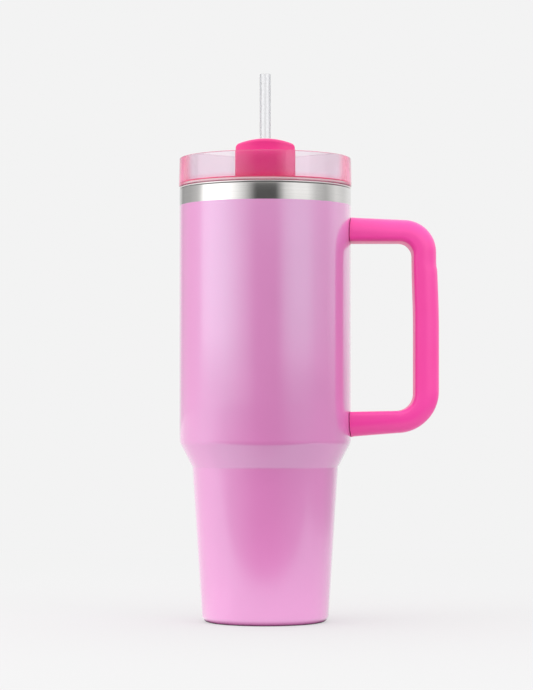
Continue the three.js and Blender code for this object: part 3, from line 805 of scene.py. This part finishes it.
def tab_block(name, bottom, depth=0):
    """The tab's block, some way inside its surface: upright sides, a rolled edge and an arched top."""
    rounding = max(TAB_ROUNDING - depth, 0.7)
    rings = [[(x, y, bottom) for x, y in tab_plan(depth)]]
    edge_steps = 8
    for k in range(edge_steps + 1):
        angle = math.pi / 2 * k / edge_steps
        inset = rounding * (1 - math.cos(angle))
        drop = rounding * (1 - math.sin(angle))
        rings.append([(x, y, crown_z(x, depth) - drop) for x, y in tab_plan(depth + inset)])
    outline = tab_plan(depth + rounding)
    middle_y = sum(y for _, y in outline) / len(outline)
    top_steps = 12
    for k in range(1, top_steps):
        share = 1 - k / top_steps
        rings.append([
            (x * share, middle_y + (y - middle_y) * share, crown_z(x * share, depth)) for x, y in outline
        ])
    return rings_to_piece(name, rings)


def turning_cover():
    """The cover's disc with its hollow finger tab and the window that opens the sip hole."""
    dish_z = COVER_FACE - COVER_DISH_DEPTH
    disc = turned("turning_cover", [
        (COVER_HOLE_RADIUS, COVER_BOTTOM, 0.3),
        (COVER_RADIUS, COVER_BOTTOM, 0.5),
        (COVER_RADIUS, COVER_FACE, 0.6),
        (COVER_DISH_RADIUS + 0.5, COVER_FACE, 0.4),
        (COVER_DISH_RADIUS, dish_z, 0.2),
        (COVER_HOLE_RADIUS, dish_z, 0.3),
    ])
    boolean(disc, tab_block("finger_tab", COVER_BOTTOM + 0.6), "UNION")
    boolean(disc, tab_block("tab_hollow", COVER_BOTTOM - 1, TAB_WALL))
    outline = arc_slot(SIP_RADIUS, SIP_HALF_WIDTH + 0.5, math.pi / 2, SIP_HALF_ANGLE)
    return boolean(disc, extruded("window_cutter", outline, COVER_BOTTOM - 1, COVER_FACE + 1))


def cover_seal():
    """The pad inside the tab that closes the sip opening, with a bevelled lower edge."""
    inset, bevel = TAB_WALL + 0.4, 0.5
    plan, inner = tab_plan(inset), tab_plan(inset + bevel)
    bottom, top = LID_FLOOR_TOP + 0.3, COVER_BOTTOM + 2
    rings = [
        [(x, y, bottom) for x, y in inner],
        [(x, y, bottom + bevel) for x, y in plan],
        [(x, y, top) for x, y in plan],
    ]
    return rings_to_piece("cover_seal_pad", rings)


def pivot_ring():
    """The seal in the spigot's lower groove."""
    inner, outer, gap = 7.5, 8.15, 0.2
    bottom, top = SEAL_GROOVE_BOTTOM + gap, SEAL_GROOVE_TOP - gap
    return turned("pivot_ring", [
        (inner, bottom, 0.3),
        (outer, bottom, 0.3),
        (outer, top, 0.3),
        (inner, top, 0.3),
    ], segments=SMALL_ROUND)


def snap_ring():
    """The open ring in the spigot's upper groove, which keeps the cover on."""
    inner, outer, gap = 7.65, 10, 0.2
    start = math.radians(25)
    end = 2 * math.pi - start
    outline = arc((0, 0), outer, start, end, SMALL_ROUND)
    outline += arc((0, 0), inner, end, start, SMALL_ROUND)
    return extruded("snap_ring", outline, CLIP_GROOVE_BOTTOM + gap, CLIP_GROOVE_TOP - gap)


def straw_grommet():
    """The sleeve that holds the straw in the spigot, with a flange at each end."""
    hole, sleeve, gap, flange = 3.5, 5.3, 0.3, 1.2
    lower_flange, upper_flange = 6.9, 7.4
    lower_face = LID_FLOOR_BOTTOM - gap - 0.1
    upper_face = SPIGOT_TOP + gap
    return turned("straw_sleeve", [
        (hole, lower_face - flange, 0.3),
        (lower_flange, lower_face - flange, 0.5),
        (lower_flange, lower_face, 0.4),
        (sleeve, lower_face, 0.1),
        (sleeve, upper_face, 0.1),
        (upper_flange, upper_face, 0.3),
        (upper_flange, upper_face + flange, 0.6),
        (hole, upper_face + flange, 0.4),
    ], segments=SMALL_ROUND)


def straw_tube():
    """The straw, with rounded ends."""
    bottom, top = straw_low.z / MM, straw_high.z / MM
    return turned("drinking_straw", [
        (STRAW_BORE_RADIUS, bottom, 0.2),
        (STRAW_RADIUS, bottom, 0.25),
        (STRAW_RADIUS, top, 0.25),
        (STRAW_BORE_RADIUS, top, 0.2),
    ], segments=SMALL_ROUND)


# ---------------------------------------------------------------- putting it together

paint = pearl_paint()
steel = turned_steel("turned_steel", 0.565, 0.08, 0.15)
liner_steel = turned_steel("satin_steel", 0.78, 0.22, 0.34)
hidden_steel = turned_steel("screw_steel", 0.5, 0.12, 0.22)
handle_pink = moulded_plastic("handle_plastic", (0.99, 0.06, 0.39), (1, 0.07, 0.42), 0.32)
# The strip's pink is lighter than the moulding's: partly its own plastic, partly painted light standing in
# for the floor's light on the handle's underside.
strip_pink_with_painted_light = moulded_plastic("strip_plastic", (0.98, 0.13, 0.42), (1, 0.15, 0.45), 0.42)
cover_pink = moulded_plastic("cover_plastic", (0.82, 0.022, 0.225), (0.86, 0.028, 0.245), 0.15, 0.8)
# Its edge colour is a painted deeper pink where the ring is seen edge on; its ledge bands are painted light
# and shade as well.
clear_pink = clear_plastic(
    "clear_pink_plastic", absorb=(0.86, 0.05, 0.64), strength=47, face=(0.925, 0.915, 0.92),
    edge=(1, 0.22, 0.42), shade=(0.84, 0.6, 0.7), slant=(0.5, 0.74), ripple=0.015, ledge=LEDGE_Z * MM,
)
# Its edge colour is painted shade along the straw's edges.
clear = clear_plastic(
    "clear_plastic", absorb=(0.9, 0.92, 0.95), strength=12, face=(0.94, 0.94, 0.95),
    edge=(0.44, 0.45, 0.48), shade=(0.95, 0.95, 0.96), slant=(0.25, 0.7),
)
soft = silicone()

show(painted_wall(), "cup", paint, "pearl_paint", "outer_shell")
show(neck_band(), "cup", steel, "bare_steel", "outer_shell")
show(inner_liner(), "cup", liner_steel, "bare_steel", "inner_liner")
show(base_cover(), "cup", paint, "pearl_paint", "base_cover")
show(sweep_handle("handle_moulding", channel_section), "cup", handle_pink, "handle_plastic", "handle_shell")
show(sweep_handle("handle_strip", strip_section), "cup", strip_pink_with_painted_light, "handle_plastic", "handle_inner_cover")

show(lid_ring(), "lid", clear_pink, "clear_pink_plastic", "lid_base")
show(lid_gasket(), "lid", soft, "silicone", "lid_gasket")
show(pivot_ring(), "lid", soft, "silicone", "pivot_o_ring")
show(snap_ring(), "lid", steel, "bare_steel", "cover_clip")
show(straw_grommet(), "lid", soft, "silicone", "straw_grommet")
show(turning_cover(), "cover", cover_pink, "cover_plastic", "rotating_cover")
show(cover_seal(), "cover", soft, "silicone", "cover_seal")
show(straw_tube(), "straw", clear, "clear_plastic", "straw")

# The pieces hidden inside the wall, the foot and the handle keep the CAD's shapes.
HIDDEN_STEEL_NODES = [
    "handle_bracket_upper", "handle_bracket_lower", "handle_screw_upper", "handle_screw_lower", "outer_base",
]
for node in HIDDEN_STEEL_NODES:
    dress(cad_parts[node], hidden_steel)
dress(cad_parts["copper_foil"], foil_metal())
dress(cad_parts["getter"], pressed_powder())
dress(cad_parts["vacuum_seal_plug"], fused_glass())


# ---------------------------------------------------------------- studio

BACKGROUND = 0.896
STAGE_REACH = 8
STAGE_NEAR, STAGE_FAR = 0.22, 0.75  # the floor turns into even background between these distances
STAGE_SHADE, STAGE_GLOW = 0.33, 0.45


def stage_material():
    """Pale floor near the tumbler, which fades into the even background farther away."""
    n = Nodes("stage_floor")
    fade = n.smooth(n.length(n.place()), STAGE_NEAR, STAGE_FAR)
    n.plain(Base_Color=(STAGE_SHADE, STAGE_SHADE, STAGE_SHADE, 1), Roughness=1, Specular_IOR_Level=0,
            Emission_Color=(1, 1, 1, 1), Emission_Strength=STAGE_GLOW)
    even = n.add("ShaderNodeEmission")
    even.inputs["Strength"].default_value = BACKGROUND
    surface = n.mixed_shaders(fade, n.shader.outputs["BSDF"], even.outputs["Emission"])
    n.link(surface, n.output.inputs["Surface"])
    return n.material


def stage_plane(name, z, material):
    """A flat level surface of the stage."""
    bm = bmesh.new()
    bm.faces.new([
        bm.verts.new((x * STAGE_REACH, y * STAGE_REACH, z)) for x, y in ((-1, -1), (1, -1), (1, 1), (-1, 1))
    ])
    mesh = bpy.data.meshes.new(name)
    bm.to_mesh(mesh)
    bm.free()
    plane = bpy.data.objects.new(name, mesh)
    bpy.context.scene.collection.objects.link(plane)
    plane.data.materials.append(material)
    return plane


LAMP_TARGET_Z = 0.15


def softbox(name, azimuth, distance, height, size, power, colour=(1, 1, 1)):
    """A soft area light aimed at the tumbler. Azimuth is from the camera's side towards +X."""
    light = bpy.data.lights.new(name, "AREA")
    light.shape = "RECTANGLE"
    light.size, light.size_y = size
    light.energy = power
    light.color = colour
    lamp = bpy.data.objects.new(name, light)
    angle = math.radians(azimuth)
    lamp.location = (math.sin(angle) * distance, -math.cos(angle) * distance, height)
    aim = Vector((0, 0, LAMP_TARGET_Z)) - lamp.location
    lamp.rotation_euler = aim.to_track_quat("-Z", "Y").to_euler()
    lamp.visible_camera = False
    lamp.visible_glossy = False
    bpy.context.scene.collection.objects.link(lamp)
    return lamp


# What the tumbler's surfaces mirror: (azimuth in degrees from the camera's side towards +X, brightness
# a little above level, of what is level, of the table near by and of the floor past its edge).
SURROUNDINGS = [
    (-180, 0.95, 0.95, 0.95, 0.95),
    (-155, 0.80, 0.75, 0.95, 0.90),
    (-146, 0.45, 0.55, 1.00, 0.90),
    (-138, 0.55, 0.60, 0.90, 0.70),
    (-121, 0.60, 0.65, 0.90, 0.70),
    (-104, 0.78, 0.80, 1.00, 0.80),
    (-98, 1.00, 0.90, 1.05, 0.90),
    (-90, 1.90, 1.00, 1.10, 1.00),
    (-78, 2.25, 1.10, 1.10, 1.00),
    (-58, 2.10, 1.15, 1.15, 0.58),
    (-42, 1.60, 1.05, 1.05, 0.38),
    (-27, 0.90, 0.72, 1.00, 0.20),
    (-17, 0.35, 0.42, 0.98, 0.10),
    (-12, 0.13, 0.15, 0.95, 0.05),
    (14, 0.13, 0.08, 0.92, 0.05),
    (20, 0.50, 0.12, 0.92, 0.08),
    (27, 1.05, 0.25, 0.92, 0.14),
    (40, 1.35, 0.33, 0.92, 0.20),
    (58, 1.35, 0.30, 0.88, 0.28),
    (72, 0.85, 0.30, 0.85, 0.30),
    (89, 0.65, 0.30, 0.82, 0.30),
    (110, 1.10, 0.50, 0.80, 0.35),
    (129, 0.95, 0.60, 0.80, 0.50),
    (147, 1.05, 0.90, 0.90, 0.90),
    (165, 0.95, 0.95, 0.95, 0.95),
    (180, 0.95, 0.95, 0.95, 0.95),
]
ABOVE, LEVEL, TABLE, FLOOR = 1, 2, 3, 4
BRIGHTEST = 2.5
AMBIENT = 1.24
OVERHEAD = 1.25
ABOVE_FULL = 5                          # degrees up by which what is level has turned into what is above
OVERHEAD_START, OVERHEAD_FULL = 11, 27  # degrees up at which the light overhead starts and is full
BEHIND_START, BEHIND_FULL = -0.7, -0.3  # how far back light must go, through plastic, to meet the background
FOOT_SHADOW = (0.034, 0.041)            # radii between which the table comes out of the foot's shadow
TABLE_FRONT = (0.105, 0.17)             # the table's front edge, blurred
TABLE_RIGHT = (0.24, 0.44)              # its right edge, blurred
TABLE_SCATTER = 1.12                    # how much more light it gives to matt surfaces than it shows in gloss


class Surroundings(Graph):
    """Nodes that give the brightness round the tumbler by direction."""

    def __init__(self, tree, vector):
        super().__init__(tree)
        split = self.add("ShaderNodeSeparateXYZ")
        self.link(vector, split.inputs["Vector"])
        self.x, self.y, self.z = split.outputs
        azimuth = self.maths("ARCTAN2", self.x, self.maths("MULTIPLY", self.y, -1))
        self.turn = self.maths("ADD", self.maths("DIVIDE", azimuth, 2 * math.pi), 0.5)

    def ramp(self, column):
        """The brightness all round, as a share of the brightest, from one column of the table."""
        node = self.add("ShaderNodeValToRGB")
        stops = node.color_ramp.elements
        while len(stops) < len(SURROUNDINGS):
            stops.new(0.5)
        for stop, row in zip(stops, SURROUNDINGS):
            stop.position = (row[0] + 180) / 360
            stop.color = (*(row[column] / BRIGHTEST,) * 3, 1)
        self.link(self.turn, node.inputs["Fac"])
        return node.outputs["Color"]

    def backdrop(self, strength, colour=None):
        """A shader for what lies all round, white or with a linked colour."""
        node = self.add("ShaderNodeBackground")
        node.inputs["Color"].default_value = (1, 1, 1, 1)
        node.inputs["Strength"].default_value = strength
        if colour:
            self.link(colour, node.inputs["Color"])
        return node.outputs["Background"]


def sine(degrees):
    """The upward part of a direction that many degrees above level."""
    return math.sin(math.radians(degrees))


def studio_world():
    """An even pale background, mirrored softboxes, and even light for everything matt."""
    world = bpy.data.worlds.new("studio")
    world.use_nodes = True
    world.cycles.sampling_method = "NONE"
    path = world.node_tree.nodes.new("ShaderNodeLightPath").outputs
    direction = world.node_tree.nodes.new("ShaderNodeTexCoord").outputs["Generated"]
    around = Surroundings(world.node_tree, direction)
    above_level = around.smooth(around.z, 0, sine(ABOVE_FULL))
    sides = around.mixed(above_level, around.ramp(LEVEL), around.ramp(ABOVE))
    overhead = around.smooth(around.z, sine(OVERHEAD_START), sine(OVERHEAD_FULL))
    mirrored = around.mixed(overhead, sides, (OVERHEAD / BRIGHTEST,) * 3)
    behind = around.smooth(around.y, BEHIND_START, BEHIND_FULL)
    seen_through = around.maths("MULTIPLY", behind, path["Is Transmission Ray"])
    background = around.backdrop(BACKGROUND)
    glossy = around.mixed_shaders(seen_through, around.backdrop(BRIGHTEST, mirrored), background)
    lighting = around.mixed_shaders(path["Is Glossy Ray"], around.backdrop(AMBIENT), glossy)
    everything = around.mixed_shaders(path["Is Camera Ray"], lighting, background)
    around.link(everything, world.node_tree.nodes["World Output"].inputs["Surface"])
    bpy.context.scene.world = world


def table_material():
    """What the tumbler's walls see of the pale table and of the darker floor past its edge."""
    material = bpy.data.materials.new("lit_table")
    material.use_nodes = True
    tree = material.node_tree
    place = tree.nodes.new("ShaderNodeTexCoord").outputs["Object"]
    around = Surroundings(tree, place)
    glow = around.add("ShaderNodeEmission")
    outside_foot = around.smooth(around.length(place), *FOOT_SHADOW)
    scattered = around.add("ShaderNodeLightPath").outputs["Is Diffuse Ray"]
    lift = around.maths("MULTIPLY_ADD", scattered, BRIGHTEST * (TABLE_SCATTER - 1), BRIGHTEST)
    around.link(around.maths("MULTIPLY", outside_foot, lift), glow.inputs["Strength"])
    past_front = around.smooth(around.maths("MULTIPLY", around.y, -1), *TABLE_FRONT)
    past_right = around.smooth(around.x, *TABLE_RIGHT)
    past = around.maths("MAXIMUM", past_front, past_right)
    around.link(around.mixed(past, around.ramp(TABLE), around.ramp(FLOOR)), glow.inputs["Color"])
    around.link(glow.outputs["Emission"], tree.nodes["Material Output"].inputs["Surface"])
    return material


def studio():
    """A floor that the camera sees, a table that lights the tumbler from below, and three lamps."""
    seen = stage_plane("floor", 0, stage_material())
    seen.visible_diffuse = False
    seen.visible_glossy = False
    lit = stage_plane("floor_light", -0.001, table_material())
    lit.visible_camera = False
    lit.visible_transmission = False
    lit.visible_shadow = False
    softbox("left_softbox", -75, 1.15, 0.22, (1.25, 1.5), 7)
    softbox("right_softbox", 45, 1.25, 0.22, (0.78, 1.5), 4.5, (0.96, 0.94, 1.0))
    top = softbox("top_softbox", 0, 0.05, 1.5, (1.6, 1.6), 1.5)
    top.rotation_euler = (0, 0, 0)
    studio_world()


def camera():
    """Level with the lower part of the cup, far off, and shifted up as in the photograph."""
    data = bpy.data.cameras.new("camera")
    data.sensor_width = 36
    data.lens = 127.8
    data.shift_x = 0.0018
    data.shift_y = 0.104
    data.clip_start, data.clip_end = 0.05, 50
    view = bpy.data.objects.new("camera", data)
    view.location = (0, -1.4, 0.117)
    view.rotation_euler = (math.pi / 2, 0, 0)
    bpy.context.scene.collection.objects.link(view)
    bpy.context.scene.camera = view


studio()
camera()
bpy.context.scene.view_settings.view_transform = "Standard"
